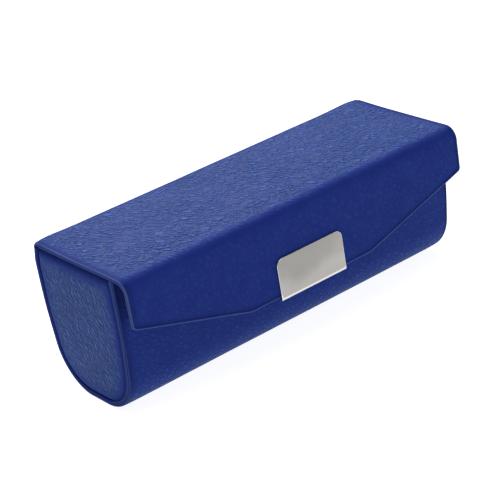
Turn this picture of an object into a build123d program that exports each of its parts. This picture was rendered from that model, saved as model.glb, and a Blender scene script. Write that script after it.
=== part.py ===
from build123d import *
import os
from math import radians, tan

# Hard eyeglasses case: a board trough covered in textured synthetic leather, with a hinged flat
# lid that carries a folding front flap, a metal clasp plate and a magnetic catch.
# Frame: X along the case, -Y is the flap side, Z up, origin under the middle of the whole case.

# ---- driving dimensions, millimetres ----
length = 160.0
depth = 63.2
lid_top = 59.8
body_top = 57.5
body_depth = 53.8
skin = 0.5
body_board_thickness = 1.6
lid_board_thickness = 0.8
lining_thickness = 0.4
body_lining_thickness = 0.6
turn_in = 0.4
clasp_thickness = 0.8

# trough section
bottom_radius = 20.0
bottom_flat = 10.0
wall_lean = 7.5
knee_radius = 120.0
knee_height = 32.5
rear_bend_height = 51.6
rear_bend_lean = 15.3
rear_bend_radius = 11.5

# hinge strip at the rear
hinge_start_height = 50.0
hinge_crest_radius = 1.8
lid_rear_edge = 26.2
lid_edge_top = lid_top - 0.3

# fold strip at the front
fold_radius = 5.3

# flap outline
flap_tip_height = 41.5
flap_low_height = 25.9
flap_low_half = 29.5
flap_tip_radius = 1.8
flap_bend_radius = 9.0
least_radius = 0.3

# clasp plate
clasp_half = 15.9
clasp_low = 24.7
clasp_high = 41.5
clasp_corner_radius = 3.0
clasp_back_height = 7.0

# magnetic catch
pad_half = 14.0
pad_low = 33.0
pad_high = 45.0
pad_clearance = 0.35
pad_corner_radius = 2.0
magnet_radius = 4.5
magnet_thickness = 4.0
magnet_spacing = 15.0
keeper_thickness = 1.0

# ---- places worked out from the driving dimensions ----
half = length / 2
rear_y = depth / 2
body_y = rear_y - body_depth / 2
front_y = rear_y - body_depth
flap_y = -depth / 2 + clasp_thickness
panel_thickness = skin + lid_board_thickness + lining_thickness
lid_bottom = lid_edge_top - panel_thickness
fold_y = flap_y + fold_radius
fold_z = lid_edge_top - fold_radius
board_inset = skin
wall_inset = skin + body_board_thickness
rim_inset = wall_inset + turn_in
lining_inset = wall_inset + body_lining_thickness
end_recess = 0.3
end_face_x = half - end_recess
end_board_x = end_face_x - skin
end_lining_x = end_board_x - body_board_thickness
cavity_half = end_lining_x - lining_thickness
tall = 70.0
lip_low = body_top - 7.5
margin = 4.0
field_inset = 6.0
field_slope = 6.0


def box_between(low, high):
    """A box from its lowest corner to its highest corner."""
    size = [b - a for a, b in zip(low, high)]
    middle = [(a + b) / 2 for a, b in zip(low, high)]
    return Pos(*middle) * Box(*size)


def trough_outline():
    """The outside of the trough's section, open at the top, as a face in the YZ plane."""
    half_depth = body_depth / 2
    turn = radians(90 - wall_lean)
    corner = bottom_flat / 2 + bottom_radius * tan(turn / 2)
    rear_top = rear_y - (tall - rear_bend_height) * tan(radians(rear_bend_lean))
    points = [
        (body_y - half_depth, tall),
        (body_y - half_depth, knee_height),
        (body_y - corner, 0),
        (body_y + corner, 0),
        (rear_y, knee_height),
        (rear_y, rear_bend_height),
        (rear_top, tall),
    ]
    radii = [knee_radius, bottom_radius, bottom_radius, knee_radius, rear_bend_radius]
    wall = FilletPolyline(*points, radius=radii)
    return make_face(wall + Line(points[-1], points[0]))


def trough(inset, half_length, top):
    """A solid U block: the trough's outside, moved in by inset, cut level at top."""
    section = trough_outline()
    if inset > 0:
        section = offset(section, amount=-inset, kind=Kind.INTERSECTION)
    block = extrude(Plane.YZ * section, amount=half_length, both=True)
    return block & box_between((-half, -depth, -1), (half, depth, top))


def trough_band(outer, inner, half_length, top):
    """The layer of the trough between two insets."""
    return trough(outer, half_length, top) - trough(inner, half_length + 1, top + 1)


def both_ends(piece):
    """A piece at the right end and its mirror image at the left end."""
    return [piece, mirror(piece, about=Plane.YZ)]


def rear_side(low, high):
    """A box that takes in the rear wall between two heights."""
    return box_between((-half, body_y, low), (half, depth, high))


def front_side(low, high):
    """A box that takes in the front wall between two heights."""
    return box_between((-half, -depth, low), (half, body_y, high))


# ---- trough ----
def keeper():
    """The steel plate that the magnets pull on, let into the front board."""
    layer = trough_band(board_inset, board_inset + keeper_thickness, pad_half, body_top)
    return layer & front_side(pad_low, pad_high)


def body_board():
    """The stiff trough that gives the case its shape."""
    board = trough_band(board_inset, wall_inset, half - skin, body_top - skin)
    return board - keeper()


def body_cover():
    """The leather of the trough, turned over its two ends and over its front lip."""
    sheet = trough_band(0, skin, half, body_top) - rear_side(hinge_start_height, tall)
    ring = trough_band(skin, rim_inset, half, body_top)
    rims = ring - box_between((skin - half, -depth, -1), (half - skin, depth, tall))
    hem = trough_band(wall_inset, rim_inset, half, body_top)
    hem -= box_between((-cavity_half, -depth, -1), (cavity_half, depth, tall))
    lip = ring & front_side(body_top - skin, body_top)
    lip_hem = trough_band(wall_inset, rim_inset, half, body_top) & front_side(lip_low, body_top)
    return sheet + rims + hem + lip + lip_hem


def body_lining():
    """The soft lining of the trough."""
    lining = trough_band(wall_inset, lining_inset, cavity_half, body_top)
    return lining - rear_side(hinge_start_height, tall) - front_side(lip_low, tall)


# ---- end panels, made at the right end ----
def end_slab(inset, low_x, high_x, top):
    """A U-shaped slab across the right end of the trough."""
    return trough(inset, half, top) & box_between((low_x, -depth, -1), (high_x, depth, tall))


def end_board():
    """The stiff board of one end."""
    return end_slab(rim_inset + skin, end_lining_x, end_board_x, body_top - skin)


def end_cover():
    """The leather of one end, turned over the board's edges."""
    cover = end_slab(rim_inset, end_lining_x, end_face_x, body_top) - end_board()
    rim = cover.faces().sort_by(Axis.X)[-1].edges()
    return fillet(rim, skin * 0.7)


def end_lining():
    """The soft lining of one end."""
    return end_slab(lining_inset, cavity_half, end_lining_x, body_top)


# ---- rear hinge strips ----
def hinge_block(inset, half_length):
    """The space from the hinge strip's outside, moved in by inset, to its inner corner."""
    lean = radians(rear_bend_lean)
    wall_y = rear_y - inset
    bend_z = rear_bend_height - inset * tan(lean / 2)
    top_z = lid_edge_top - inset
    crest_y = wall_y - (top_z - bend_z) * tan(lean)
    start = (wall_y, hinge_start_height)
    end = (lid_rear_edge, top_z)
    radii = [rear_bend_radius - inset, hinge_crest_radius - inset]
    path = FilletPolyline(start, (wall_y, bend_z), (crest_y, top_z), end, radius=radii)
    section = make_face(path + Polyline(end, (lid_rear_edge, hinge_start_height), start))
    return extrude(Plane.YZ * section, amount=half_length, both=True)


def rear_hinge_leather():
    """The strip of leather that bends when the lid opens."""
    return hinge_block(0, half) - hinge_block(skin, half + 1)


def rear_hinge_lining():
    """The strip of lining inside the hinge, from the rear wall to the lid's lining."""
    top = lid_bottom + lining_thickness
    wall = trough_band(wall_inset, rim_inset, cavity_half, top)
    wall &= rear_side(hinge_start_height, top)
    crest = wall.bounding_box().max.Z
    reach = wall.faces().sort_by(Axis.Z)[-1].center().Y
    roof = box_between((-cavity_half, lid_rear_edge - margin, lid_bottom), (cavity_half, reach, crest))
    return wall + roof


# ---- lid ----
def field(inset, low, high):
    """The flat-topped raised middle of the lid, with sloping sides."""
    span_x = half - inset
    front = fold_y + inset - margin
    rear = lid_rear_edge - inset + margin
    middle = (front + rear) / 2
    bottom = Pos(0, middle, low) * Rectangle(2 * span_x, rear - front)
    top = Pos(0, middle, high) * Rectangle(2 * (span_x - field_slope), rear - front - field_slope)
    return loft([bottom, top])


def lid_board():
    """The stiff panel of the lid."""
    low = lid_bottom + lining_thickness
    return box_between((skin - half, fold_y, low), (half - skin, lid_rear_edge, low + lid_board_thickness))


def lid_padding():
    """A thin foam sheet that crowns the lid."""
    low = lid_edge_top - skin
    return field(field_inset, low, low + lid_top - lid_edge_top)


def lid_lining():
    """The soft lining under the lid."""
    low = (margin - half, fold_y, lid_bottom)
    return box_between(low, (half - margin, lid_rear_edge - margin, lid_bottom + lining_thickness))


def lid_cover():
    """The leather of the lid, turned under at its two ends and its rear edge."""
    slab = box_between((-half, fold_y, lid_bottom), (half, lid_rear_edge, lid_edge_top))
    slab += field(field_inset - skin, lid_edge_top, lid_top)
    return slab - lid_board() - lid_padding() - lid_lining() - rear_hinge_lining()


# ---- front fold strips ----
def quarter_ring(outer, inner, half_length):
    """A strip bent a quarter turn about the fold's centre."""
    disc = Circle(outer) - Circle(inner)
    quarter = disc & Pos(-outer / 2, outer / 2) * Rectangle(outer, outer)
    return extrude(Plane.YZ * Pos(fold_y, fold_z) * quarter, amount=half_length, both=True)


def fold_leather():
    """The strip of leather that bends between the lid and the flap."""
    return quarter_ring(fold_radius, fold_radius - skin, half)


def fold_lining():
    """The strip of lining inside the fold."""
    outer = fold_radius - panel_thickness + lining_thickness
    return quarter_ring(outer, outer - lining_thickness, half - margin)


# ---- flap ----
def flap_slab(inset, near, far):
    """The flap's outline, moved in by inset on its free edges, between two Y values."""
    slope = (flap_tip_height - flap_low_height) / (half - flap_low_half)
    drop = inset * ((1 + slope**2) ** 0.5 - slope)
    low = flap_low_height + inset
    low_half = flap_low_half - inset * ((1 + slope**2) ** 0.5 - 1) / slope
    points = [
        (-half + inset, fold_z),
        (-half + inset, flap_tip_height + drop),
        (-low_half, low),
        (low_half, low),
        (half - inset, flap_tip_height + drop),
        (half - inset, fold_z),
    ]
    tip = max(flap_tip_radius - inset, least_radius)
    radii = [tip, flap_bend_radius, flap_bend_radius, tip]
    edge = FilletPolyline(*points, radius=radii)
    outline = make_face(edge + Line(points[-1], points[0]))
    return extrude(Plane.XZ.offset(-far) * outline, amount=far - near)


def flap_board():
    """The stiff panel of the flap."""
    near = flap_y + skin
    return flap_slab(skin, near, near + lid_board_thickness)


def flap_lining():
    """The soft lining behind the flap."""
    near = flap_y + skin + lid_board_thickness
    return flap_slab(margin, near, near + lining_thickness)


def flap_cover():
    """The leather of the flap, turned over its free edges."""
    slab = flap_slab(0, flap_y, flap_y + panel_thickness)
    return slab - flap_board() - flap_lining()


# ---- clasp and catch ----
def clasp_plate():
    """The metal plate that is folded round the flap's lower edge."""
    front = -depth / 2
    back = flap_y + panel_thickness
    face = box_between((-clasp_half, front, clasp_low), (clasp_half, flap_y, clasp_high))
    corners = face.edges().filter_by(Axis.Y).group_by(Axis.Z)[-1]
    face = fillet(corners, clasp_corner_radius)
    high = clasp_low + clasp_back_height
    foot = (clasp_half, back + clasp_thickness, flap_low_height)
    bottom = box_between((-clasp_half, front, clasp_low), foot)
    leg = box_between((-clasp_half, back, clasp_low), (clasp_half, back + clasp_thickness, high))
    plate = face + bottom + leg
    keel = plate.faces().sort_by(Axis.Z)[0].edges().filter_by(Axis.X)
    return fillet(keel, clasp_thickness / 2)


def magnets():
    """The two disc magnets of the catch."""
    y = front_y - pad_clearance - skin - magnet_thickness / 2
    z = (pad_low + pad_high) / 2
    disc = Rot(90, 0, 0) * Cylinder(magnet_radius, magnet_thickness)
    return [Pos(x, y, z) * disc for x in (-magnet_spacing / 2, magnet_spacing / 2)]


def magnet_pad():
    """The block behind the flap that brings the magnets up to the front wall."""
    near = flap_y + panel_thickness
    far = front_y - pad_clearance
    pad = box_between((-pad_half, near, pad_low), (pad_half, far, pad_high))
    pad = fillet(pad.edges().filter_by(Axis.Y), pad_corner_radius)
    for disc in magnets():
        pad -= disc
    return pad


def write(name, shape):
    """Write one sub-part as its own STEP file."""
    export_step(shape, f"parts/{name}.step")


def build():
    os.makedirs("parts", exist_ok=True)
    write("body_board", body_board())
    write("body_cover", body_cover())
    write("body_lining", body_lining())
    write("front_keeper", keeper())
    for name, make in (("board", end_board), ("cover", end_cover), ("lining", end_lining)):
        right, left = both_ends(make())
        write(f"right_end_{name}", right)
        write(f"left_end_{name}", left)
    write("rear_hinge_leather", rear_hinge_leather())
    write("rear_hinge_lining", rear_hinge_lining())
    write("lid_board", lid_board())
    write("lid_padding", lid_padding())
    write("lid_lining", lid_lining())
    write("lid_cover", lid_cover())
    write("fold_leather", fold_leather())
    write("fold_lining", fold_lining())
    write("flap_board", flap_board())
    write("flap_lining", flap_lining())
    write("flap_cover", flap_cover())
    write("clasp_plate", clasp_plate())
    write("flap_magnets", Compound(children=magnets()))
    write("magnet_pad", magnet_pad())


build()
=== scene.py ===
import math

import bmesh
import bpy
import numpy as np
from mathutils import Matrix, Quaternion, Vector, noise


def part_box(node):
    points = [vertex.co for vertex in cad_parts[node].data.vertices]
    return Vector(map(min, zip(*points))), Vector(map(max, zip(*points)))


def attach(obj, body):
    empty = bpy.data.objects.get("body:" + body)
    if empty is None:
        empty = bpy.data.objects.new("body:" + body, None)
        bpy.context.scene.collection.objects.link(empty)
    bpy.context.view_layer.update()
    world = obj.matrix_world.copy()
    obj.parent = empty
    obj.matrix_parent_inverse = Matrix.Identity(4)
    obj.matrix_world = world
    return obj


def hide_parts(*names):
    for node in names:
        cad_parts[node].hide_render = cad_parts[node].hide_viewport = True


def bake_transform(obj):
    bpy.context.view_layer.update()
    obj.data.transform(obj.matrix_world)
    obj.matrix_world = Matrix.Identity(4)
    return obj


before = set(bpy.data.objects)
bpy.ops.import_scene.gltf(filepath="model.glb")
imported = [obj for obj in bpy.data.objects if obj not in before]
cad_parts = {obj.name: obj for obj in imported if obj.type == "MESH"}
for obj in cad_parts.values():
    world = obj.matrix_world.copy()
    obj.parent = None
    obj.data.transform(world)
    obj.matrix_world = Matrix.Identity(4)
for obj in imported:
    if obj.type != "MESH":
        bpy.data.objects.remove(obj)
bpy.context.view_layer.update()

MM = 0.001

# noise_vector is shifted by the clock until it has a seed
NOISE_SEED = 1794858272
noise.seed_set(NOISE_SEED)

# ---- sizes read from the frame, in millimetres ----


def low_of(node):
    """Lowest corner of a CAD node, in millimetres."""
    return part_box(node)[0] / MM


def high_of(node):
    """Highest corner of a CAD node, in millimetres."""
    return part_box(node)[1] / MM


HALF = high_of("body_cover").x
FRONT_Y = low_of("body_cover").y
REAR_Y = high_of("rear_hinge_leather").y
BODY_Y = (FRONT_Y + REAR_Y) / 2
BODY_TOP = high_of("body_cover").z
EDGE_TOP = high_of("rear_hinge_leather").z
CROWN = high_of("lid_cover").z - EDGE_TOP
LID_REAR = high_of("lid_cover").y
FLAP_Y = low_of("flap_cover").y
PANEL = high_of("flap_cover").y - FLAP_Y
FLAP_LOW = low_of("flap_cover").z
FOLD_RADIUS = EDGE_TOP - high_of("flap_cover").z
FOLD_Y = FLAP_Y + FOLD_RADIUS
FOLD_Z = EDGE_TOP - FOLD_RADIUS
CAVITY_HALF = low_of("right_end_lining").x
END_FACE_X = high_of("right_end_cover").x

# ---- the leather's outline, in millimetres ----
WALL = 2.5
BOTTOM_FLAT = 10.0
BOTTOM_RADIUS = 20.0
WALL_LEAN = 7.5
KNEE_HEIGHT = 32.5
KNEE_RADIUS = 120.0
REAR_BEND_HEIGHT = 51.6
REAR_BEND_LEAN = 15.3
REAR_BEND_RADIUS = 11.5
CREST_RADIUS = 1.8
CREST_Y = REAR_Y - 2.0
HINGE_SEAM = 57.3
LID_SEAM = LID_REAR + 0.2
FLAP_TIP = 41.0
FLAP_LOW_HALF = 29.5
TIP_RADIUS = 1.8
LEAST_TIP_RADIUS = 0.5
BEND_RADIUS = 9.0
SEAM_Y = REAR_Y - 1.5
STEP = 1.0
TOUCH = 0.05

# ---- leather sheets, in millimetres ----
HINGE_LEATHER = 1.5
SKIN_THICK = 0.45
HEM = 7.5
LID_HEM = 4.0
ROUND_LOSS = 0.6
TROUGH_ROUNDS = (0.85, 0.5)
SHEET_ROUNDS = (0.65, 0.35)
CROWN_EDGE = 4.0
CROWN_END = 1.0
CROWN_RUN = 9.0
EDGE_ROLL = 0.15
EDGE_ROLL_REACH = 4.0
SEAM_RISE = 0.18
SEAM_RISE_START = HINGE_SEAM - 3.0
LIFT = 0.55
LIFT_WIDTH = 12.0
LIFT_DEPTH = 16.0
LIFT_START = HINGE_SEAM + 0.2
TOP_RUN = 1.5
CORNER_DRAW = 0.45
CORNER_WIDTH = 4.0
CORNER_DEPTH = 2.2
LEATHER_WANDER = 0.10
LEATHER_WAVE = 22.0

# ---- lining sheets, in millimetres ----
LINING = 0.4
TROUGH_LINING = 0.65
LINING_INSET = 2.1
LINING_PROUD = 0.15
LINING_ROUNDS = (0.12, 0.12)
TROUGH_LINING_ROUNDS = (0.2, 0.2)
LINING_GAP = 0.1
LINING_WANDER = 0.06
LINING_WAVE = 9.0
HINGE_LOW = 50.0
HINGE_LAP = 0.5
LINING_SEAM = HINGE_SEAM - 0.6
LINING_BENDS = (2.0, 0.45)

# ---- ends, in millimetres ----
END_GAP = 0.15
END_TOP = 56.5
END_TOP_ROUND = 1.0
END_TOP_START = END_TOP - 1.5
END_ROUND = 1.3
END_DIP = 0.3
END_HEM = 4.0
END_FACE = END_FACE_X - 0.15
END_WANDER = 0.12
END_WAVE = 14.0
BOARD_GAP = 0.05
PILLOW = 0.25

# ---- clasp, catch and floor, in millimetres ----
CLASP_CORNER = 3.0
CLASP_LEG = 7.0
CLASP_THICK = 0.8
CLASP_ROUNDS = (0.30, 0.12)
CLASP_BEND = 0.5
CLASP_PILLOW = 0.5
# Where the clasp's painted highlight runs: faintly along the sides, and as a line near the bottom.
CLASP_SIDE_LINE = 5.0
CLASP_LOW_LINE = 0.4
PAD_ROUND = 1.6
PAD_WANDER = 0.12
PAD_WAVE = 5.0
FLOOR_Z = -0.1

# ---- camera ----
AZIMUTH = -34.446
ELEVATION = 24.849
ROLL = -9.819
DISTANCE = 0.679
LENS = 125.65
SENSOR = 36.0
TARGET = Vector((-0.00158, 0.00475, 0.03007))


def camera():
    """The camera that was fitted to the photo's view."""
    data = bpy.data.cameras.new("camera")
    data.lens = LENS
    data.sensor_width = SENSOR
    data.clip_start = 0.01
    data.clip_end = 20
    cam = bpy.data.objects.new("camera", data)
    bpy.context.scene.collection.objects.link(cam)
    a = math.radians(AZIMUTH)
    e = math.radians(ELEVATION)
    back = Vector((math.sin(a) * math.cos(e), -math.cos(a) * math.cos(e), math.sin(e)))
    cam.location = TARGET + back * DISTANCE
    cam.rotation_mode = "QUATERNION"
    roll = Quaternion((0, 0, 1), math.radians(ROLL))
    cam.rotation_quaternion = (-back).to_track_quat("-Z", "Y") @ roll
    bpy.context.scene.camera = cam


# ---- outlines ----


def rounded(points, radii, turn=3.0):
    """A polyline through points, with an arc of the given radius at each inner corner."""
    points = [Vector(p) for p in points]
    out = [points[0]]
    for before, corner, after, radius in zip(points, points[1:], points[2:], radii):
        a = (before - corner).normalized()
        b = (after - corner).normalized()
        opening = a.angle(b)
        reach = radius / math.tan(opening / 2)
        start = corner + a * reach
        centre = corner + (a + b).normalized() * (radius / math.sin(opening / 2))
        sweep = math.pi - opening
        side = 1 if a.x * b.y - a.y * b.x < 0 else -1
        steps = max(2, math.ceil(math.degrees(sweep) / turn))
        for i in range(steps + 1):
            t = side * sweep * i / steps
            d = start - centre
            turned = (d.x * math.cos(t) - d.y * math.sin(t), d.x * math.sin(t) + d.y * math.cos(t))
            out.append(centre + Vector(turned))
    out.append(points[-1])
    return np.array([tuple(p) for p in out])


def spaced(path, step):
    """The same polyline with its long runs divided, so that no run is longer than step."""
    out = [path[0]]
    for a, b in zip(path, path[1:]):
        n = max(1, math.ceil(np.linalg.norm(b - a) / step))
        out.extend(a + (b - a) * i / n for i in range(1, n + 1))
    keep = [out[0]]
    for p in out[1:]:
        if np.linalg.norm(p - keep[-1]) > 1e-6:
            keep.append(p)
    return np.array(keep)


def lengths(path):
    """Arc length at each point of a polyline."""
    steps = np.linalg.norm(np.diff(path, axis=0), axis=1)
    return np.concatenate([[0], np.cumsum(steps)])


def normals(path, outward=1):
    """Unit normals along a polyline, to its left for outward = 1."""
    d = np.gradient(path, axis=0)
    d /= np.linalg.norm(d, axis=1)[:, None]
    return outward * np.stack([-d[:, 1], d[:, 0]], 1)


def skin_path():
    """The leather's outside, in one line from the front lip under the case to the flap's lower edge."""
    corner = BOTTOM_FLAT / 2 + BOTTOM_RADIUS * math.tan(math.radians(90 - WALL_LEAN) / 2)
    lean = math.tan(math.radians(REAR_BEND_LEAN))
    crest = REAR_Y - (EDGE_TOP - REAR_BEND_HEIGHT) * lean
    points = [
        (FRONT_Y, BODY_TOP),
        (FRONT_Y, KNEE_HEIGHT),
        (BODY_Y - corner, 0),
        (BODY_Y + corner, 0),
        (REAR_Y, KNEE_HEIGHT),
        (REAR_Y, REAR_BEND_HEIGHT),
        (crest, EDGE_TOP),
        (FLAP_Y, EDGE_TOP),
        (FLAP_Y, FLAP_LOW),
    ]
    radii = [KNEE_RADIUS, BOTTOM_RADIUS, BOTTOM_RADIUS, KNEE_RADIUS]
    radii += [REAR_BEND_RADIUS, CREST_RADIUS, FOLD_RADIUS]
    return spaced(rounded(points, radii), STEP)


SKIN = skin_path()
SKIN_LENGTH = lengths(SKIN)
SKIN_NORMAL = normals(SKIN, -1)


def skin_at(y, z):
    """The arc length of the leather's point that is nearest to a place."""
    return SKIN_LENGTH[np.argmin(np.hypot(SKIN[:, 0] - y, SKIN[:, 1] - z))]


REAR_SEAM = skin_at(SEAM_Y, HINGE_SEAM)


def skin_rows(s):
    """Points and normals of the leather's outside at the arc lengths s."""
    path = np.stack([np.interp(s, SKIN_LENGTH, SKIN[:, k]) for k in (0, 1)], 1)
    normal = np.stack([np.interp(s, SKIN_LENGTH, SKIN_NORMAL[:, k]) for k in (0, 1)], 1)
    normal /= np.linalg.norm(normal, axis=1)[:, None]
    return path, normal


def stretch_of_skin(start, end):
    """Points, normals and arc lengths of the leather's outside between two arc lengths."""
    inside = SKIN_LENGTH[(SKIN_LENGTH > start + 1e-3) & (SKIN_LENGTH < end - 1e-3)]
    s = np.unique(np.concatenate([[start, end], inside]))
    s = s[np.concatenate([[True], np.diff(s) > 0.02])]
    path, normal = skin_rows(s)
    return path, normal, s


def flap_outline(inset=0.0):
    """Half of the flap's outline, from the fold down to the middle of its lower edge."""
    slope = (FLAP_TIP - FLAP_LOW) / (HALF - FLAP_LOW_HALF)
    slant = math.sqrt(1 + slope**2)
    low = FLAP_LOW + inset
    points = [
        (HALF - inset, FOLD_Z),
        (HALF - inset, FLAP_TIP + inset * (slant - slope)),
        (FLAP_LOW_HALF - inset * (slant - 1) / slope, low),
        (0, low),
    ]
    tip_radius = max(TIP_RADIUS - inset, LEAST_TIP_RADIUS)
    return rounded(points, [tip_radius, BEND_RADIUS], 6.0)


def flap_rows(inset=0.0):
    """Heights of the flap's rows and the half width at each, from the fold to the lower edge."""
    side = spaced(flap_outline(inset)[:-1], STEP)
    return side[:, 1], side[:, 0]


# ---- meshes ----


def link(name, verts, faces):
    """Makes an object of vertices in metres and their faces, and puts it in the scene."""
    me = bpy.data.meshes.new(name)
    me.from_pydata([tuple(v) for v in verts], [], faces)
    me.update()
    ob = bpy.data.objects.new(name, me)
    bpy.context.scene.collection.objects.link(ob)
    return ob


def apply_modifiers(ob):
    """Replaces the object's mesh by what its modifiers make of it."""
    dg = bpy.context.evaluated_depsgraph_get()
    made = bpy.data.meshes.new_from_object(ob.evaluated_get(dg))
    ob.modifiers.clear()
    ob.data = made


def grid_faces(rows, across, flip=False):
    """Quads of a grid whose vertices are numbered row by row."""
    faces = []
    for i in range(rows - 1):
        for j in range(across - 1):
            a = i * across + j
            quad = (a, a + 1, a + across + 1, a + across)
            faces.append(quad[::-1] if flip else quad)
    return faces


def panel(name, path, normal, halves, thickness, rounds, count=90, open_ends=()):
    """A bent sheet of some thickness. Its outside follows path, and halves gives its half width there.
    rounds gives the radii of its free edges, outside and inside. open_ends names the ends, 0 or 1, that
    meet another sheet and stay square."""
    outer_round, inner_round = rounds
    rows = len(path)
    near = 1 - (outer_round + ROUND_LOSS) / max(halves)
    share = np.concatenate([[-1], np.linspace(-near, near, count), [1]])
    across = len(share)
    x = np.outer(halves, share)
    layers = []
    for depth in (0, thickness):
        y, z = (path - normal * depth).T
        layers.append(np.stack([x, np.outer(y, share**0), np.outer(z, share**0)], 2))
    verts = np.concatenate([layer.reshape(-1, 3) for layer in layers]) * MM
    under = rows * across
    faces = grid_faces(rows, across)
    faces += [tuple(under + v for v in face) for face in grid_faces(rows, across, True)]
    rim = list(range(across))
    rim += [i * across + across - 1 for i in range(1, rows)]
    rim += [(rows - 1) * across + j for j in range(across - 2, -1, -1)]
    rim += [i * across for i in range(rows - 2, 0, -1)]
    weights = {}
    for a, b in zip(rim, rim[1:] + rim[:1]):
        faces.append((b, a, under + a, under + b))
        first = a // across == b // across == 0 and 0 in open_ends
        last = a // across == b // across == rows - 1 and 1 in open_ends
        if not (first or last):
            weights[tuple(sorted((a, b)))] = 1.0
            weights[tuple(sorted((under + a, under + b)))] = inner_round / outer_round
    ob = link(name, verts, faces)
    round_edges(ob, weights, outer_round)
    return ob


def round_edges(ob, weights, width):
    """Rounds the edges in the dictionary weights, which gives each its share of width."""
    me = ob.data
    weight = me.attributes.new("bevel_weight_edge", "FLOAT", "EDGE")
    for e in me.edges:
        weight.data[e.index].value = weights.get(tuple(sorted(e.vertices)), 0.0)
    bm = bmesh.new()
    bm.from_mesh(me)
    bmesh.ops.recalc_face_normals(bm, faces=bm.faces)
    bm.to_mesh(me)
    bm.free()
    mod = ob.modifiers.new("round", "BEVEL")
    mod.limit_method = "WEIGHT"
    mod.width = width * MM
    mod.segments = 5
    apply_modifiers(ob)


def coordinates(ob):
    """The mesh's vertices in millimetres."""
    co = np.empty(len(ob.data.vertices) * 3)
    ob.data.vertices.foreach_get("co", co)
    return co.reshape(-1, 3) / MM


def set_coordinates(ob, co):
    """Moves the mesh's vertices to places in millimetres."""
    ob.data.vertices.foreach_set("co", (co * MM).ravel())
    ob.data.update()


def nearest(points, line):
    """For each point, the arc length of the nearest place on a polyline, and how far off that is."""
    start = lengths(line)
    best = np.full(len(points), 1e9)
    where = np.zeros(len(points))
    for a, b, s in zip(line, line[1:], start):
        size = np.linalg.norm(b - a)
        t = np.clip((points - a) @ (b - a) / size**2, 0, 1)
        away = np.linalg.norm(points - (a + t[:, None] * (b - a)), axis=1)
        closer = away < best
        best[closer] = away[closer]
        where[closer] = s + t[closer] * size
    return where, best


def bell(distance, width):
    """A smooth bump: 1 where distance is 0, and nearly 0 beyond twice the width."""
    return np.exp(-((distance / width) ** 2))


def skin(ob):
    """Turns a surface into leather of its real thickness."""
    mod = ob.modifiers.new("skin", "SOLIDIFY")
    mod.thickness = SKIN_THICK * MM
    mod.offset = -1
    apply_modifiers(ob)


def hollow(ob, path, thickness, distance, hem):
    """Opens the inner side of a panel beyond the hem at its free edges, and leaves a skin."""
    co = coordinates(ob)
    _, away = nearest(co[:, 1:], path)
    inside = (away > thickness - TOUCH) & (distance(co) > hem)
    bm = bmesh.new()
    bm.from_mesh(ob.data)
    bm.verts.ensure_lookup_table()
    gone = [f for f in bm.faces if all(inside[v.index] for v in f.verts)]
    bmesh.ops.delete(bm, geom=gone, context="FACES")
    bm.to_mesh(ob.data)
    bm.free()
    skin(ob)


def shade(ob, angle=50):
    """Smooth shading, with edges sharper than angle kept sharp."""
    for p in ob.data.polygons:
        p.use_smooth = True
    ob.data.set_sharp_from_angle(angle=math.radians(angle))


def roll_off(ob, path, normal, thickness, distance):
    """Rolls the outside of a panel inwards towards its free edges."""
    co = coordinates(ob)
    where, away = nearest(co[:, 1:], path)
    run = lengths(path)
    out = np.stack([np.interp(where, run, normal[:, k]) for k in (0, 1)], 1)
    near = np.clip(1 - distance(co) / EDGE_ROLL_REACH, 0, 1) ** 2
    shift = EDGE_ROLL * near * np.clip(1 - away / thickness, 0, 1)
    co[:, 1:] -= out * shift[:, None]
    set_coordinates(ob, co)


def crown(ob):
    """Raises the middle of the lid over its thin foam."""
    co = coordinates(ob)
    side = HALF - CROWN_EDGE - np.abs(co[:, 0])
    front = co[:, 1] - FOLD_Y - CROWN_END
    rear = LID_REAR - CROWN_END - co[:, 1]
    share = np.clip(np.minimum(np.minimum(side, front), rear) / CROWN_RUN, 0, 1)
    share = share * share * (3 - 2 * share)
    top = np.clip(co[:, 2] - (EDGE_TOP - 1.0), 0, 1)
    co[:, 2] += CROWN * share * top
    set_coordinates(ob, co)


def level_rear_top(ob, path):
    """Raises the inner side of the trough's rear top, so that the leather covers the board's end."""
    co = coordinates(ob)
    _, away = nearest(co[:, 1:], path)
    top = np.clip((co[:, 2] - SEAM_RISE_START) / TOP_RUN, 0, 1)
    co[:, 2] += SEAM_RISE * away * top * (co[:, 1] > BODY_Y)
    set_coordinates(ob, co)


def lift_corners(ob):
    """Lifts the rear corners a little, and draws the crest in where the leather is turned over."""
    co = coordinates(ob)
    lift = bell(end_distance(co), LIFT_WIDTH) * bell(REAR_Y - co[:, 1], LIFT_DEPTH)
    top = np.clip((co[:, 2] - LIFT_START) / TOP_RUN, 0, 1)
    co[:, 2] += LIFT * lift * top
    corner = bell(end_distance(co), CORNER_WIDTH) * bell(crest_distance(co), CORNER_DEPTH)
    co[:, 1:] -= (CORNER_DRAW * corner * top)[:, None]
    set_coordinates(ob, co)


def lay_grain(ob, path, start, bands, least=0.0):
    """Unrolls the sheet into the UV map 'grain', in millimetres, and marks how smooth it is pulled.
    bands holds pairs of a distance function and the width of its smooth band, the free edge's first.
    least is how smooth the leather is pressed everywhere."""
    co = coordinates(ob)
    where, away = nearest(co[:, 1:], path)
    u = co[:, 0] + np.clip(co[:, 0] / SIDE_RUN, -1, 1) * away
    smooth = np.full(len(co), least)
    for distance, reach in bands:
        smooth = np.maximum(smooth, bell(distance(co), reach))
    write_grain(ob, u, start + where, smooth, np.hypot(bands[0][0](co), away))


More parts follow.
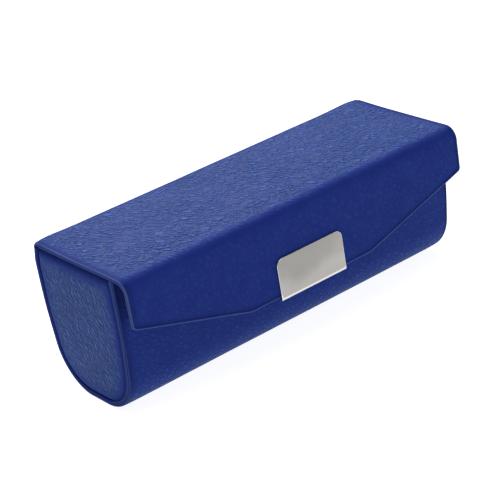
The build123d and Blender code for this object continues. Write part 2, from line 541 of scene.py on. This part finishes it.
def write_grain(ob, u, v, smooth, edge):
    """Writes the UV map 'grain', the attribute 'stretch', which is how smooth each point is pulled, and
    the attribute 'edge', which is its distance to the outer corner of the free edge. The leather paints
    its darker plain tone by 'stretch', and a band of shade and a highlight line by 'edge'."""
    me = ob.data
    layer = me.uv_layers.new(name="grain")
    index = np.empty(len(me.loops), int)
    me.loops.foreach_get("vertex_index", index)
    layer.data.foreach_set("uv", np.stack([u[index], v[index]], 1).ravel())
    for key, values in (("stretch", smooth), ("edge", np.clip(edge, 0, 10))):
        mark = me.attributes.new(key, "FLOAT", "POINT")
        mark.data.foreach_set("value", values.astype(np.float32))


def soften(ob, amount, size, seed):
    """Moves the mesh in and out by a slow noise, so that no face or edge is machine flat."""
    co = coordinates(ob)
    shift = Vector((seed * 17.3, seed * 5.1, seed * 9.7))
    for i, p in enumerate(co):
        co[i] += np.array(noise.noise_vector(Vector(p) / size + shift)) * amount
    set_coordinates(ob, co)


# ---- materials ----

SATIN_DARK = (0.275, 0.266, 0.252, 1)
SATIN_PALE = (0.395, 0.382, 0.370, 1)
# Painted highlight on the clasp's border.
CLASP_EDGE_HIGHLIGHT = (0.72, 0.71, 0.69, 1)
BORDER_START = 0.35
BORDER_END = 0.95
SIDE_RUN = 5.0
GRAIN_SIZE = 1.5
GRAIN_STRETCH = 2.2
GRAIN_TURN = 55.0
GRAIN_DEPTH = 1.0
GRAIN_DRIFT = (1.8, 1.8, 0)
PEBBLE_SHARE = 0.84
WRINKLE_SIZE = GRAIN_SIZE / 2.3
WRINKLE_SHARE = 0.12
FINE_SHARE = 0.04
PLAIN_ROUGH = 0.58
RAISED_ROUGH = 0.12
STRETCHED_ROUGH = 0.36
BEAD_START = 0.6
BEAD_WIDTH = 1.6
BEAD_DEPTH = 0.30
# Painted shade and light: the grain's creases get a darker blue and its crests a lighter, greener blue,
# standing in for the grain's shading and the lit lid top.
CREASE_SHADE_BLUE = (0.006, 0.028, 0.180, 1)
CREST_LIT_BLUE = (0.008, 0.053, 0.305, 1)
# Painted shade: the smooth leather of the flap and the fold turns to this darker blue.
PLAIN_SHADED_BLUE = (0.008, 0.020, 0.178, 1)
WORN_BLUE = (0.030, 0.060, 0.240, 1)
# Painted shade: a darker blue in a band along the free edges.
EDGE_SHADE_BLUE = (0.003, 0.013, 0.120, 1)
EDGE_SHADE_BAND = 3.6
# Painted highlight: a thin lighter line right at the free edges, where the rounded edge catches light.
EDGE_HIGHLIGHT_BLUE = (0.060, 0.085, 0.300, 1)
EDGE_HIGHLIGHT_START = 0.30
EDGE_HIGHLIGHT_END = 0.62


class Tree:
    """A small helper that adds and joins shader nodes."""

    def __init__(self, name):
        self.material = bpy.data.materials.new(name)
        self.material.use_nodes = True
        self.nodes = self.material.node_tree.nodes
        self.links = self.material.node_tree.links
        self.shader = self.nodes["Principled BSDF"]

    def add(self, kind, **settings):
        node = self.nodes.new(kind)
        for key, value in settings.items():
            setattr(node, key, value)
        return node

    def join(self, a, b):
        self.links.new(a, b)

    def put(self, socket, value):
        if isinstance(value, (int, float, tuple)):
            socket.default_value = value
        else:
            self.join(value, socket)

    def math(self, operation, a, b=0.0, clamp=False):
        node = self.add("ShaderNodeMath", operation=operation, use_clamp=clamp)
        self.put(node.inputs[0], a)
        self.put(node.inputs[1], b)
        return node.outputs[0]

    def remap(self, value, low, high, to_low=0.0, to_high=1.0):
        node = self.add("ShaderNodeMapRange", interpolation_type="SMOOTHSTEP")
        self.put(node.inputs["Value"], value)
        ends = (("From Min", low), ("From Max", high), ("To Min", to_low), ("To Max", to_high))
        for key, number in ends:
            self.put(node.inputs[key], number)
        return node.outputs[0]

    def mix(self, share, a, b):
        node = self.add("ShaderNodeMix", data_type="RGBA")
        self.put(node.inputs["Factor"], share)
        self.put(node.inputs["A"], a)
        self.put(node.inputs["B"], b)
        return node.outputs["Result"]

    def noise(self, where, scale, detail=2.0, rough=0.5):
        node = self.add("ShaderNodeTexNoise")
        self.put(node.inputs["Vector"], where)
        node.inputs["Scale"].default_value = scale
        node.inputs["Detail"].default_value = detail
        node.inputs["Roughness"].default_value = rough
        return node

    def voronoi(self, where, scale, feature):
        node = self.add("ShaderNodeTexVoronoi", feature=feature)
        self.put(node.inputs["Vector"], where)
        node.inputs["Scale"].default_value = scale
        return node

    def bump(self, height, distance, strength=1.0, under=None):
        node = self.add("ShaderNodeBump")
        if under:
            self.join(under.outputs[0], node.inputs["Normal"])
        node.inputs["Distance"].default_value = distance * MM
        self.put(node.inputs["Strength"], strength)
        self.put(node.inputs["Height"], height)
        self.join(node.outputs[0], self.shader.inputs["Normal"])
        return node

    def colour(self, value):
        self.put(self.shader.inputs["Base Color"], value)

    def rough(self, value):
        self.put(self.shader.inputs["Roughness"], value)


def pebbles(t, uv):
    """The height of the leather's grain: long pebbles, with wrinkles and fine roughness on them."""
    place = t.add("ShaderNodeMapping", vector_type="TEXTURE")
    place.inputs["Rotation"].default_value = (0, 0, math.radians(GRAIN_TURN))
    place.inputs["Scale"].default_value = (GRAIN_STRETCH, 1.0, 1.0)
    t.join(uv.outputs[0], place.inputs["Vector"])
    drift = t.noise(place.outputs[0], 0.5, 3.0)
    bent = t.add("ShaderNodeVectorMath", operation="MULTIPLY_ADD")
    t.join(drift.outputs["Color"], bent.inputs[0])
    bent.inputs[1].default_value = GRAIN_DRIFT
    t.join(place.outputs[0], bent.inputs[2])
    cells = t.voronoi(bent.outputs[0], 1 / GRAIN_SIZE, "DISTANCE_TO_EDGE")
    small = t.voronoi(bent.outputs[0], 1 / WRINKLE_SIZE, "DISTANCE_TO_EDGE")
    pebble = t.remap(cells.outputs["Distance"], 0.0, 0.42)
    wrinkle = t.remap(small.outputs["Distance"], 0.0, 0.25)
    fine = t.noise(place.outputs[0], 3.0, 2.0, 0.5)
    height = t.math("MULTIPLY", pebble, PEBBLE_SHARE)
    height = t.math("ADD", height, t.math("MULTIPLY", wrinkle, WRINKLE_SHARE))
    return t.math("ADD", height, t.math("MULTIPLY", fine.outputs["Fac"], FINE_SHARE))


def leather(name):
    """Blue synthetic leather with a pebbled grain that fades where it's stretched over an edge."""
    t = Tree(name)
    uv = t.add("ShaderNodeUVMap", uv_map="grain")
    height = pebbles(t, uv)
    stretch = t.add("ShaderNodeAttribute", attribute_name="stretch").outputs["Fac"]
    patch = t.noise(uv.outputs[0], 0.045, 2.0)
    weak = t.remap(patch.outputs["Fac"], 0.35, 0.65, 0.8, 1.0)
    strength = t.math("MULTIPLY", t.math("SUBTRACT", 1.0, stretch, True), weak)
    edge = t.add("ShaderNodeAttribute", attribute_name="edge").outputs["Fac"]
    bead = t.remap(edge, BEAD_START, BEAD_WIDTH, 1.0, 0.0)
    t.bump(height, GRAIN_DEPTH, strength, t.bump(bead, BEAD_DEPTH))
    # Painted shade and light: darker creases and lighter, greener crests, chosen by the grain's height.
    shade = t.mix(t.remap(height, 0.1, 0.8), CREASE_SHADE_BLUE, CREST_LIT_BLUE)
    # Painted shade: where the leather is smooth, chiefly on the flap and the fold, the colour turns to
    # a darker plain blue.
    base = t.mix(stretch, shade, PLAIN_SHADED_BLUE)
    # Painted shade: the colour darkens within a band along the free edges.
    base = t.mix(t.remap(edge, 0.0, EDGE_SHADE_BAND, 1.0, 0.0), base, EDGE_SHADE_BLUE)
    # Painted highlight: a thin lighter line at the free edge.
    base = t.mix(t.remap(edge, EDGE_HIGHLIGHT_START, EDGE_HIGHLIGHT_END, 0.8, 0.0), base, EDGE_HIGHLIGHT_BLUE)
    mottle = t.noise(uv.outputs[0], 0.12, 3.0)
    t.colour(t.mix(t.remap(mottle.outputs["Fac"], 0.3, 0.75, 0.0, 0.10), base, WORN_BLUE))
    raised = t.math("MULTIPLY", height, RAISED_ROUGH)
    worn = t.math("SUBTRACT", PLAIN_ROUGH, raised)
    t.rough(t.math("ADD", worn, t.math("MULTIPLY", stretch, STRETCHED_ROUGH), True))
    t.shader.inputs["Specular IOR Level"].default_value = 0.11
    t.shader.inputs["Sheen Weight"].default_value = 0.12
    t.shader.inputs["Sheen Roughness"].default_value = 0.35
    t.shader.inputs["Sheen Tint"].default_value = (0.50, 1.0, 0.80, 1)
    return t.material


def flannel(name):
    """Black napped lining: short soft fibres with a little sheen."""
    t = Tree(name)
    where = t.add("ShaderNodeTexCoord").outputs["Object"]
    scale = 1 / MM
    nap = t.noise(where, 2.2 * scale, 4.0, 0.7)
    clumps = t.noise(where, 0.25 * scale, 3.0)
    tone = t.mix(nap.outputs["Fac"], (0.004, 0.004, 0.005, 1), (0.022, 0.022, 0.025, 1))
    t.colour(t.mix(t.remap(clumps.outputs["Fac"], 0.35, 0.7, 0.0, 0.4), tone, (0.030, 0.030, 0.034, 1)))
    t.rough(0.95)
    t.bump(nap.outputs["Fac"], 0.12)
    t.shader.inputs["Sheen Weight"].default_value = 0.35
    t.shader.inputs["Sheen Roughness"].default_value = 0.5
    t.shader.inputs["Specular IOR Level"].default_value = 0.2
    return t.material


def satin_metal(name):
    """Nickel plate with a fine satin finish and faint handling marks, a painted reflection that is
    darker at the top and lighter towards the bottom, and a raised, smoother border with a painted
    highlight.
    """
    t = Tree(name)
    where = t.add("ShaderNodeTexCoord").outputs["Object"]
    scale = 1 / MM
    stretchy = t.add("ShaderNodeMapping")
    stretchy.inputs["Scale"].default_value = (0.06, 1.0, 2.4)
    t.join(where, stretchy.inputs["Vector"])
    brushed = t.noise(stretchy.outputs[0], 3.0 * scale, 3.0, 0.6)
    cloud = t.noise(where, 0.07 * scale, 2.0)
    parts = t.add("ShaderNodeSeparateXYZ")
    t.join(where, parts.inputs[0])
    low, high = low_of("clasp_plate").z * MM, high_of("clasp_plate").z * MM
    # Painted reflection: the satin grey is lighter towards the bottom of the plate and darker at its
    # top, on top of random clouds.
    tone = t.math("ADD", t.remap(parts.outputs["Z"], low, high, 0.8, 0.2), cloud.outputs["Fac"])
    satin = t.mix(t.remap(tone, 0.7, 1.3), SATIN_DARK, SATIN_PALE)
    edge = t.add("ShaderNodeAttribute", attribute_name="edge").outputs["Fac"]
    # Painted highlight: the border, chiefly a line near the bottom, turns a much lighter grey. Its
    # lower roughness is real polish.
    border = t.remap(edge, BORDER_START, BORDER_END, 1.0, 0.0)
    t.colour(t.mix(border, satin, CLASP_EDGE_HIGHLIGHT))
    t.shader.inputs["Metallic"].default_value = 1.0
    rough = t.remap(cloud.outputs["Fac"], 0.2, 0.8, 0.26, 0.36)
    t.rough(t.math("SUBTRACT", rough, t.math("MULTIPLY", border, 0.10)))
    rim = t.bump(t.remap(edge, 0.5, 1.0), 0.08)
    t.bump(brushed.outputs["Fac"], 0.0025, 1.0, rim)
    return t.material


def greyboard(name):
    """Grey recycled board with flecks."""
    t = Tree(name)
    where = t.add("ShaderNodeTexCoord").outputs["Object"]
    scale = 1 / MM
    pulp = t.noise(where, 1.2 * scale, 5.0, 0.7)
    t.colour(t.mix(pulp.outputs["Fac"], (0.30, 0.28, 0.25, 1), (0.48, 0.45, 0.41, 1)))
    t.rough(0.9)
    t.bump(pulp.outputs["Fac"], 0.05)
    return t.material


def foam(name):
    """Black closed-cell foam."""
    t = Tree(name)
    where = t.add("ShaderNodeTexCoord").outputs["Object"]
    cells = t.voronoi(where, 2.5 / MM, "F1")
    t.colour(t.mix(cells.outputs["Distance"], (0.03, 0.03, 0.032, 1), (0.008, 0.008, 0.009, 1)))
    t.rough(0.85)
    t.bump(cells.outputs["Distance"], 0.06)
    return t.material


def plated_steel(name):
    """Dull nickel plate on the magnets and the keeper."""
    t = Tree(name)
    where = t.add("ShaderNodeTexCoord").outputs["Object"]
    cloud = t.noise(where, 0.6 / MM, 4.0)
    t.colour(t.mix(cloud.outputs["Fac"], (0.50, 0.50, 0.51, 1), (0.62, 0.61, 0.60, 1)))
    t.shader.inputs["Metallic"].default_value = 1.0
    t.rough(t.remap(cloud.outputs["Fac"], 0.2, 0.8, 0.25, 0.45))
    t.bump(cloud.outputs["Fac"], 0.004)
    return t.material


BLUE = leather("blue_leather")
LINED = flannel("black_flannel")
METAL = satin_metal("satin_nickel")
BOARD = greyboard("greyboard")
FOAM = foam("black_foam")
STEEL = plated_steel("plated_steel")


def dress(ob, material):
    """Gives an object one material."""
    ob.data.materials.clear()
    ob.data.materials.append(material)


# ---- how smooth the grain is pulled, which also sets where the darker painted shade tone goes: widths of its bands, in millimetres, and least amounts ----
RIM_SMOOTH = 2.6
EDGE_SMOOTH = 3.0
CREST_SMOOTH = 2.2
FOLD_SMOOTH = 4.0
FLAP_SMOOTH = 1.1
FLAP_NEAR = 0.55
FLAP_FADE_START = FOLD_Y - 2.5
FLAP_FADE = 3.0
END_SMOOTH = 5.0
TROUGH_LEAST = 0.66
END_LEAST = 0.15
END_EDGE_START = 1.0
END_GRAIN_PLACE = 300.0


def end_distance(co):
    """Distance to the nearer end of the case."""
    return np.abs(HALF - np.abs(co[:, 0]))


def lip_distance(co):
    """Distance to the trough's front lip."""
    return np.hypot(co[:, 1] - FRONT_Y, co[:, 2] - BODY_TOP)


def trough_distance(co):
    """Distance to the trough's ends and its front lip."""
    return np.minimum(end_distance(co), lip_distance(co))


def rim_distance(co):
    """Distance to the nearest free edge of the trough's leather, along its inner side."""
    drop = np.where(co[:, 1] < BODY_Y, BODY_TOP - co[:, 2], HALF)
    return np.minimum(end_distance(co) + HEM - (HALF - CAVITY_HALF), drop)


def crest_distance(co):
    """Distance to the crest behind the lid."""
    return np.hypot(co[:, 1] - CREST_Y, co[:, 2] - EDGE_TOP)


def fold_distance(co):
    """Distance to the middle of the front fold."""
    bend = FOLD_RADIUS * math.sin(math.pi / 4)
    return np.hypot(co[:, 1] - FOLD_Y + bend, co[:, 2] - FOLD_Z - bend)


def flap_edge():
    """The flap's free edge as a line in X and Z, left to right."""
    half = spaced(flap_outline(), STEP)
    return np.concatenate([half * np.array([-1, 1]), half[-2::-1]])


FLAP_EDGE = flap_edge()


def free_distance(co):
    """Distance to the free edge of the lid and the flap."""
    _, away = nearest(co[:, ::2], FLAP_EDGE)
    return np.where(co[:, 2] > FOLD_Z, end_distance(co), away)


def flap_front(co):
    """Small on the flap and growing behind the fold, because the flap's leather is pressed smoother."""
    # The smoothness set here also gives the flap the darker plain tone, which is painted shade.
    behind = np.maximum((co[:, 1] - FLAP_FADE_START) / FLAP_FADE, 0)
    return FLAP_NEAR + np.where(co[:, 2] < FOLD_Z, 0, behind)


# ---- leather pieces ----


def even(path, half):
    """The half widths of a sheet that is equally wide all along its path."""
    return np.full(len(path), half)


def trough_leather():
    """The leather round the trough, with its rims at the ends and its front lip."""
    path, normal, _ = stretch_of_skin(0, REAR_SEAM)
    ob = panel("trough_leather", path, normal, even(path, HALF), WALL, TROUGH_ROUNDS, open_ends=(1,))
    roll_off(ob, path, normal, WALL, end_distance)
    level_rear_top(ob, path)
    hollow(ob, path, WALL, rim_distance, HEM)
    soften(ob, LEATHER_WANDER, LEATHER_WAVE, 1)
    lay_grain(ob, path, 0, [(trough_distance, RIM_SMOOTH)], TROUGH_LEAST)
    shade(ob)
    dress(ob, BLUE)
    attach(ob, "case")
    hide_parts("body_cover")


def hinge_leather():
    """The leather that bends behind the lid."""
    path, normal, _ = stretch_of_skin(REAR_SEAM, skin_at(LID_SEAM, EDGE_TOP))
    sizes = (even(path, HALF), HINGE_LEATHER, SHEET_ROUNDS)
    ob = panel("hinge_leather", path, normal, *sizes, open_ends=(0, 1))
    roll_off(ob, path, normal, HINGE_LEATHER, end_distance)
    lift_corners(ob)
    soften(ob, LEATHER_WANDER, LEATHER_WAVE, 1)
    lay_grain(ob, path, REAR_SEAM, [(end_distance, EDGE_SMOOTH), (crest_distance, CREST_SMOOTH)])
    shade(ob)
    dress(ob, BLUE)
    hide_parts("rear_hinge_leather")
    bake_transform(ob)


def lid_rows(inset, rear, edge_inset):
    """Path, normal, half widths and first arc length of the sheet over the lid, the fold and the flap,
    from a place near the lid's rear edge to the flap's lower edge. The sheet is moved in from the
    leather's outside by inset, and its free edges by edge_inset."""
    start = skin_at(rear, EDGE_TOP)
    fold_end = skin_at(FLAP_Y, FOLD_Z)
    heights, widths = flap_rows(edge_inset)
    _, _, upper = stretch_of_skin(start, fold_end)
    rows = np.concatenate([upper[:-1], fold_end + (FOLD_Z - heights)])
    path, normal = skin_rows(rows)
    halves = np.concatenate([even(upper[:-1], HALF - edge_inset), widths])
    return path - normal * inset, normal, halves, start


def fold_blend(ob):
    """Bakes a piece's transform into its mesh."""
    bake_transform(ob)


def lid_leather():
    """The leather of the lid, the fold and the flap, in one sheet."""
    path, normal, halves, start = lid_rows(0, LID_SEAM, 0)
    ob = panel("lid_leather", path, normal, halves, PANEL, SHEET_ROUNDS, open_ends=(0,))
    crown(ob)
    roll_off(ob, path, normal, PANEL, free_distance)
    lift_corners(ob)
    hollow(ob, path, PANEL, free_distance, LID_HEM)
    soften(ob, LEATHER_WANDER, LEATHER_WAVE, 1)
    bands = [(free_distance, EDGE_SMOOTH), (crest_distance, CREST_SMOOTH)]
    bands += [(fold_distance, FOLD_SMOOTH), (flap_front, FLAP_SMOOTH)]
    lay_grain(ob, path, start, bands)
    shade(ob)
    dress(ob, BLUE)
    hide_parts("lid_cover", "fold_leather", "flap_cover")
    fold_blend(ob)


# ---- end pieces ----


def end_outline():
    """The outside of an end panel, as a closed line in Y and Z."""
    path, normal, _ = stretch_of_skin(0, REAR_SEAM)
    inner = path - normal * (WALL + END_GAP)
    inner = inner[inner[:, 1] < END_TOP_START]
    front, rear = inner[0], inner[-1]
    corners = [rear, (rear[0] - 0.3, END_TOP), (front[0], END_TOP), front]
    over = rounded(corners, [END_TOP_ROUND, END_TOP_ROUND], 15.0)
    return np.concatenate([inner, spaced(over, STEP)[1:-1]])


def end_name(side, what):
    """The name of a CAD node of one end."""
    return ("right_end_" if side > 0 else "left_end_") + what


def ringed(name, side, outline, profile):
    """A cap across an end. Each pair in profile gives a ring: how far in from the outline, and its X.
    Returns the cap, and how far in each of its vertices is."""
    middle = outline.mean(0)
    reach = np.linalg.norm(outline - middle, axis=1).mean()
    count = len(outline)
    rings = []
    for inset, x in profile:
        ring = middle + (outline - middle) * (1 - inset / reach)
        rings.append(np.column_stack([np.full(count, x * side), ring]))
    rings.append(np.array([[profile[-1][1] * side, *middle]]))
    faces = []
    for i in range(len(profile) - 1):
        for j in range(count):
            a, b = i * count + j, i * count + (j + 1) % count
            faces.append((a, b, b + count, a + count)[::-side])
    last = (len(profile) - 1) * count
    centre = len(profile) * count
    faces += [(last + j, last + (j + 1) % count, centre)[::-side] for j in range(count)]
    ob = link(name, np.concatenate(rings) * MM, faces)
    inset = np.concatenate([np.repeat([inset for inset, _ in profile], count), [reach]])
    return ob, inset


def face_rings(start, face, reach=27.0):
    """Rings over a pillowed face, from start in from its border, where it dips, to its middle."""
    insets = np.concatenate([[start, 2, 3, 4, 5, 6], np.linspace(7.5, reach - 1.5, 18)])
    rings = []
    for inset in insets:
        dip = END_DIP * max(0, 1 - inset / 5) ** 2
        rings.append((inset, face - dip + PILLOW * (inset / reach) ** 0.7))
    return rings


def round_rings(face, radius, inset=0.0, turn=1.35):
    """Rings round a border of the given radius, which leads up to a face."""
    angles = np.linspace(0, turn, 6)
    x = face - END_DIP - radius
    return [(inset + radius * (1 - math.cos(t)), x + radius * math.sin(t)) for t in angles]


def end_panel(side):
    """The leather of one end: a pillowed face with round edges, and the hem behind it.
    Its skin lies outside the surface that is made here."""
    back = CAVITY_HALF + LINING + SKIN_THICK
    profile = [(END_HEM, back), (0.3, back), (0.0, back + 0.3)]
    profile += round_rings(END_FACE, END_ROUND) + face_rings(END_ROUND, END_FACE)
    ob, inset = ringed(end_name(side, "leather"), side, end_outline(), profile)
    co = coordinates(ob)
    soften(ob, END_WANDER, END_WAVE, 2 + side)
    smooth = np.maximum(bell(inset, END_SMOOTH), END_LEAST)
    u = co[:, 1] * side + END_GRAIN_PLACE * side
    write_grain(ob, u, -co[:, 2], smooth, inset + END_EDGE_START)
    skin(ob)
    shade(ob)
    dress(ob, BLUE)
    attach(ob, "case")
    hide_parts(end_name(side, "cover"))


def end_board(side):
    """The board inside one end, with its edges rounded to suit the leather."""
    face = END_FACE - SKIN_THICK - 2 * BOARD_GAP
    back = CAVITY_HALF + LINING + SKIN_THICK + BOARD_GAP
    start = SKIN_THICK + BOARD_GAP
    profile = [(20.0, back), (10.0, back), (start, back)]
    profile += round_rings(face, END_ROUND - 0.5, start) + face_rings(END_ROUND + 0.5, face)
    name = end_name(side, "board")
    ob, _ = ringed(name + "_shaped", side, end_outline(), profile)
    bm = bmesh.new()
    bm.from_mesh(ob.data)
    bmesh.ops.holes_fill(bm, edges=[e for e in bm.edges if e.is_boundary])
    bm.to_mesh(ob.data)
    bm.free()
    shade(ob)
    dress(ob, BOARD)
    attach(ob, "case")
    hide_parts(name)


# ---- lining pieces ----


def trough_lining():
    """The lining round the inside of the trough."""
    start = skin_at(FRONT_Y, BODY_TOP - HEM)
    path, normal, _ = stretch_of_skin(start, skin_at(REAR_Y, HINGE_LOW))
    path = path - normal * (LINING_INSET - TOUCH)
    halves = even(path, CAVITY_HALF - LINING_GAP)
    sizes = (halves, TROUGH_LINING, TROUGH_LINING_ROUNDS)
    ob = panel("trough_lining", path, normal, *sizes, count=60)
    finish_lining(ob, 3)
    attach(ob, "case")
    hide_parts("body_lining")


def hinge_lining():
    """The lining inside the rear hinge, from the rear wall to the lid's lining."""
    low = skin_at(REAR_Y, HINGE_LOW - HINGE_LAP)
    path, normal, _ = stretch_of_skin(low, skin_at(SEAM_Y, LINING_SEAM))
    wall = path - normal * (LINING_INSET + LINING_PROUD)
    top = EDGE_TOP - PANEL + LINING - LINING_PROUD
    wall_y = wall[-1][0]
    corners = [wall[0], wall[-1], (wall_y - 0.2, top), (LID_REAR - LID_HEM, top)]
    line = spaced(rounded(corners, LINING_BENDS, 10.0), STEP / 2)
    halves = even(line, CAVITY_HALF - LINING_GAP)
    ob = panel("hinge_lining", line, normals(line, -1), halves, LINING, LINING_ROUNDS, count=60)
    finish_lining(ob, 4)
    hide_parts("rear_hinge_lining")
    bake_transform(ob)


def lid_lining():
    """The lining under the lid, round the fold and behind the flap, in one sheet."""
    inset = PANEL - LINING + LINING_PROUD
    path, normal, halves, _ = lid_rows(inset, LID_REAR - LID_HEM, LID_HEM)
    ob = panel("lid_lining", path, normal, halves, LINING, LINING_ROUNDS, count=60)
    finish_lining(ob, 5)
    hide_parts("lid_lining", "fold_lining", "flap_lining")
    fold_blend(ob)


def end_lining(side):
    """The lining on the inside of one end."""
    low, high = CAVITY_HALF - TOUCH, CAVITY_HALF + LINING
    profile = [(20.0, high), (0.1, high), (0.1, low + 0.15), (0.25, low), (2.0, low)]
    profile += [(inset, low) for inset in np.linspace(5, 25, 8)]
    name = end_name(side, "lining")
    ob, _ = ringed(name + "_cloth", -side, end_outline(), [(inset, -x) for inset, x in profile])
    finish_lining(ob, 6 + side)
    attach(ob, "case")
    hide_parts(name)


def finish_lining(ob, seed):
    """Softens a lining sheet and gives it its cloth."""
    soften(ob, LINING_WANDER, LINING_WAVE, seed)
    shade(ob)
    dress(ob, LINED)


# ---- clasp and catch ----


def clasp_line(low, high):
    """The clasp's outside from its top, down the front and up behind the flap, in Y and Z, and the half
    width at each point."""
    leg_top = low.z + CLASP_LEG
    line = [(low.y, high.z - CLASP_CORNER), (low.y, low.z), (high.y, low.z), (high.y, leg_top)]
    turned = spaced(rounded(line, [CLASP_BEND, CLASP_BEND], 15.0), STEP)
    turn = np.linspace(0, math.pi / 2, 9)[:-1]
    corner_z = high.z - CLASP_CORNER * (1 - np.cos(turn))
    path = np.concatenate([np.column_stack([even(turn, low.y), corner_z]), turned])
    widths = high.x - CLASP_CORNER + CLASP_CORNER * np.sin(turn)
    return path, np.concatenate([widths, even(turned, high.x)])


def clasp_plate():
    """The plate folded round the flap's lower edge, slightly pillowed, with softened edges."""
    low, high = low_of("clasp_plate"), high_of("clasp_plate")
    path, halves = clasp_line(low, high)
    sizes = (halves, CLASP_THICK, CLASP_ROUNDS)
    ob = panel("clasp_cover_plate", path, normals(path, -1), *sizes, count=40)
    co = coordinates(ob)
    front = co[:, 1] < low.y + 2 * TOUCH
    across = np.clip(1 - (co[:, 0] / high.x) ** 2, 0, 1)
    up = (co[:, 2] - low.z) / (high.z - low.z)
    co[:, 1] -= front * CLASP_PILLOW * across * np.clip(4 * up * (1 - up), 0, 1)
    set_coordinates(ob, co)
    outline = np.column_stack([halves, path[:, 1]])[path[:, 0] < low.y + TOUCH]
    outline = np.concatenate([[[0, high.z]], outline])
    _, edge = nearest(np.column_stack([np.abs(co[:, 0]), co[:, 2]]), outline)
    # 'edge' places the painted highlight: a line near the bottom, and only a trace along the sides.
    edge = np.minimum(edge * CLASP_SIDE_LINE, np.abs(co[:, 2] - low.z - CLASP_LOW_LINE))
    mark = ob.data.attributes.new("edge", "FLOAT", "POINT")
    mark.data.foreach_set("value", edge.astype(np.float32))
    shade(ob, 40)
    dress(ob, METAL)
    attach(ob, "flap")
    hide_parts("clasp_plate")


def catch_pad():
    """The soft block that brings the magnets up to the front wall."""
    low, high = low_of("magnet_pad"), high_of("magnet_pad")
    bm = bmesh.new()
    bmesh.ops.create_cube(bm, size=1)
    for v in bm.verts:
        v.co = Vector(((low[k] + high[k]) / 2 + v.co[k] * (high[k] - low[k]) for k in range(3))) * MM
    edges = list(bm.edges)
    size = {"offset": PAD_ROUND * MM, "segments": 5, "profile": 0.6}
    bmesh.ops.bevel(bm, geom=edges, affect="EDGES", clamp_overlap=True, **size)
    bmesh.ops.subdivide_edges(bm, edges=bm.edges, cuts=2, use_grid_fill=True)
    me = bpy.data.meshes.new("catch_pad")
    bm.to_mesh(me)
    bm.free()
    ob = bpy.data.objects.new("catch_pad", me)
    bpy.context.scene.collection.objects.link(ob)
    soften(ob, PAD_WANDER, PAD_WAVE, 9)
    shade(ob)
    dress(ob, LINED)
    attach(ob, "flap")
    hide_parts("magnet_pad")


# ---- studio, in metres and watts ----
FLOOR_HALF = 3.0
WORLD_LIGHT = 0.30
FLOOR_GREY = (0.35, 0.35, 0.35, 1)
FLOOR_GLOW = 0.92
WHITE = (1, 1, 1, 1)


def area(name, place, aim, size, power):
    """A rectangular lamp at a place, aimed at a point."""
    data = bpy.data.lights.new(name, "AREA")
    data.shape = "RECTANGLE"
    data.size, data.size_y = size
    data.energy = power
    ob = bpy.data.objects.new(name, data)
    bpy.context.scene.collection.objects.link(ob)
    ob.location = place
    ob.rotation_mode = "QUATERNION"
    ob.rotation_quaternion = (Vector(aim) - Vector(place)).to_track_quat("-Z", "Y")


def studio():
    """Soft white light from above and behind, a weak even light all round, and a pale floor."""
    area("overhead", (-0.15, -0.15, 1.2), (0, 0, 0), (0.9, 0.9), 8)
    area("behind", (0.40, 0.85, 0.85), (0, 0, 0.05), (0.5, 0.4), 18)
    world = bpy.data.worlds.new("studio")
    bpy.context.scene.world = world
    world.use_nodes = True
    world.node_tree.nodes["Background"].inputs["Color"].default_value = WHITE
    world.node_tree.nodes["Background"].inputs["Strength"].default_value = WORLD_LIGHT
    side = FLOOR_HALF
    corners = [(-side, -side), (side, -side), (side, side), (-side, side)]
    floor = link("floor", [(x, y, FLOOR_Z * MM) for x, y in corners], [(0, 1, 2, 3)])
    t = Tree("pale_floor")
    t.colour(FLOOR_GREY)
    t.rough(0.9)
    t.shader.inputs["Specular IOR Level"].default_value = 0.1
    t.shader.inputs["Emission Color"].default_value = WHITE
    t.shader.inputs["Emission Strength"].default_value = FLOOR_GLOW
    floor.data.materials.append(t.material)
    bpy.context.scene.view_settings.view_transform = "Standard"


def hidden_parts():
    """Finishes for the CAD pieces inside the case."""
    for node in ("body_board", "lid_board", "flap_board"):
        dress(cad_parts[node], BOARD)
    for node in ("front_keeper", "flap_magnets"):
        dress(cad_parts[node], STEEL)
    dress(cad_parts["lid_padding"], FOAM)


camera()
studio()
hidden_parts()
trough_leather()
hinge_leather()
lid_leather()
trough_lining()
hinge_lining()
lid_lining()
for side in (-1, 1):
    end_panel(side)
    end_board(side)
    end_lining(side)
clasp_plate()
catch_pad()
